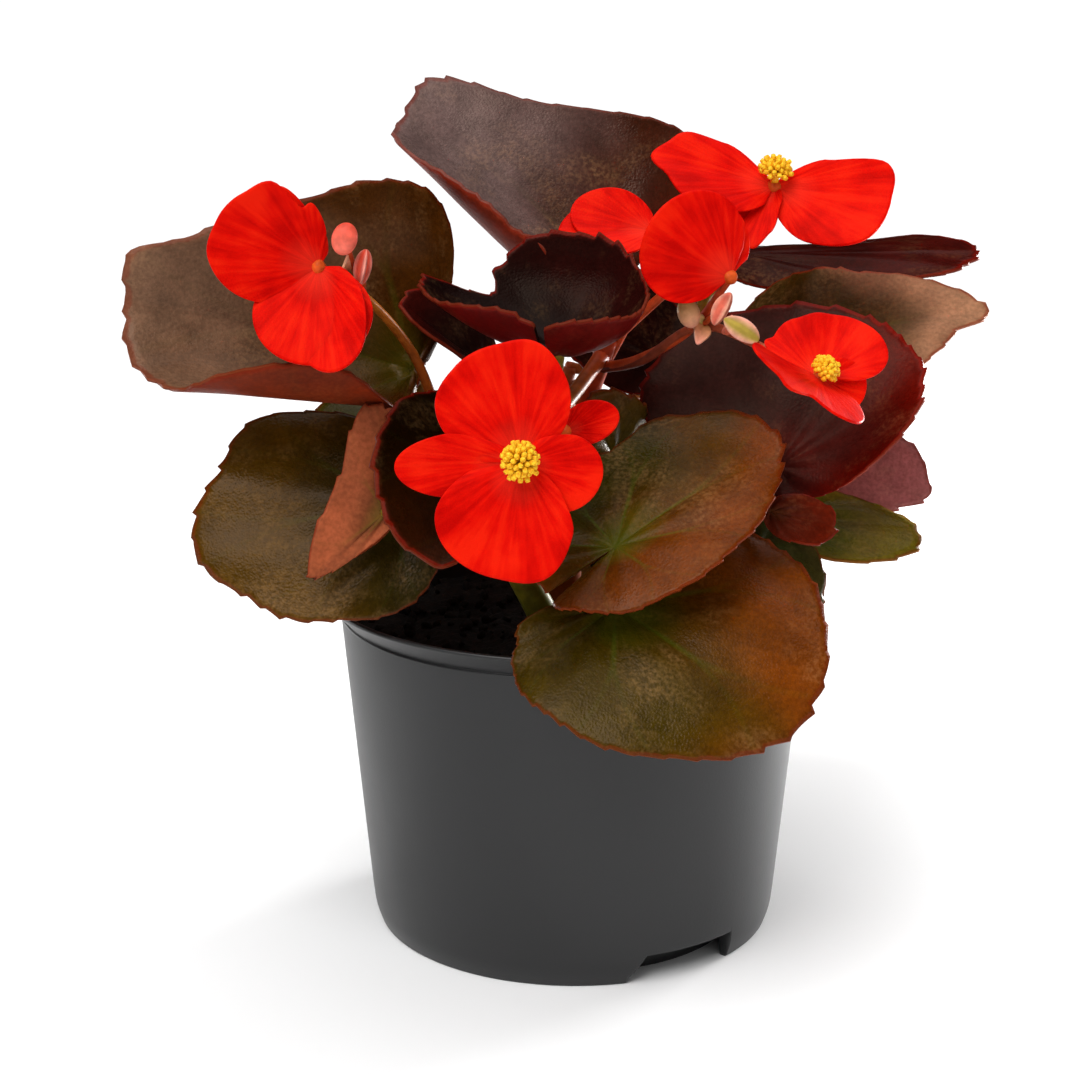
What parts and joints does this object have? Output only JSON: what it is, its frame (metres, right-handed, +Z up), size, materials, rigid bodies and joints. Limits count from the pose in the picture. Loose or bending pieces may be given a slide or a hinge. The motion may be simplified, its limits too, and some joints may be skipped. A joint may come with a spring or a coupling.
{
  "type": "potted begonia",
  "caption": "Potted flowering begonia: rounded waxy bronze leaves on fleshy stems, with scarlet flowers and yellow stamens, in a round tapered black nursery pot filled with soil.",
  "frame": {"origin": "under the middle of the pot, on the surface that the pot stands on", "axes": "+Z up along the pot's axis; -Y towards the side seen in the picture; +X to that viewer's right"},
  "size_m": [0.1974, 0.1607, 0.1998],
  "materials": {
    "pot": "satin very dark grey plastic",
    "soil": "matt dark peat, moist",
    "stem": "smooth fleshy, red with green",
    "leaf": "waxy, dark bronze to maroon and olive, with red margins",
    "petal": "satin scarlet",
    "stamen": "matt yellow, granular",
    "bud": "satin pink and red"
  },
  "bodies": {
    "root": {"bloom_behind": "petal", "bloom_front": "petal", "bloom_left": "petal", "bloom_right": "petal", "bloom_small": "petal", "bloom_top_left": "petal", "bloom_top_right": "petal", "bud_left_lower": "bud", "bud_left_upper": "bud", "bud_right_pale": "bud", "bud_right_upper": "bud", "bud_right_winged": "bud", "leaf_back_high": "leaf", "leaf_back_left": "leaf", "leaf_back_middle": "leaf", "leaf_back_right": "leaf", "leaf_cup": "leaf", "leaf_cup_young": "leaf", "leaf_front_low": "leaf", "leaf_front_right": "leaf", "leaf_inner_dark": "leaf", "leaf_inner_olive": "leaf", "leaf_left_back": "leaf", "leaf_left_big": "leaf", "leaf_left_fold": "leaf", "leaf_left_low": "leaf", "leaf_right_back": "leaf", "leaf_right_big": "leaf", "leaf_right_green": "leaf", "leaf_right_grey": "leaf", "leaf_right_maroon": "leaf", "leaf_right_olive": "leaf", "leaf_right_small": "leaf", "leaf_top": "leaf", "leaf_young_dark": "leaf", "pot": "pot", "soil": "soil", "stamens_front": "stamen", "stamens_right": "stamen", "stamens_top_right": "stamen", "stem_back": "stem", "stem_centre": "stem", "stem_front": "stem", "stem_left": "stem", "stem_right": "stem"}
  },
  "joints": []
}
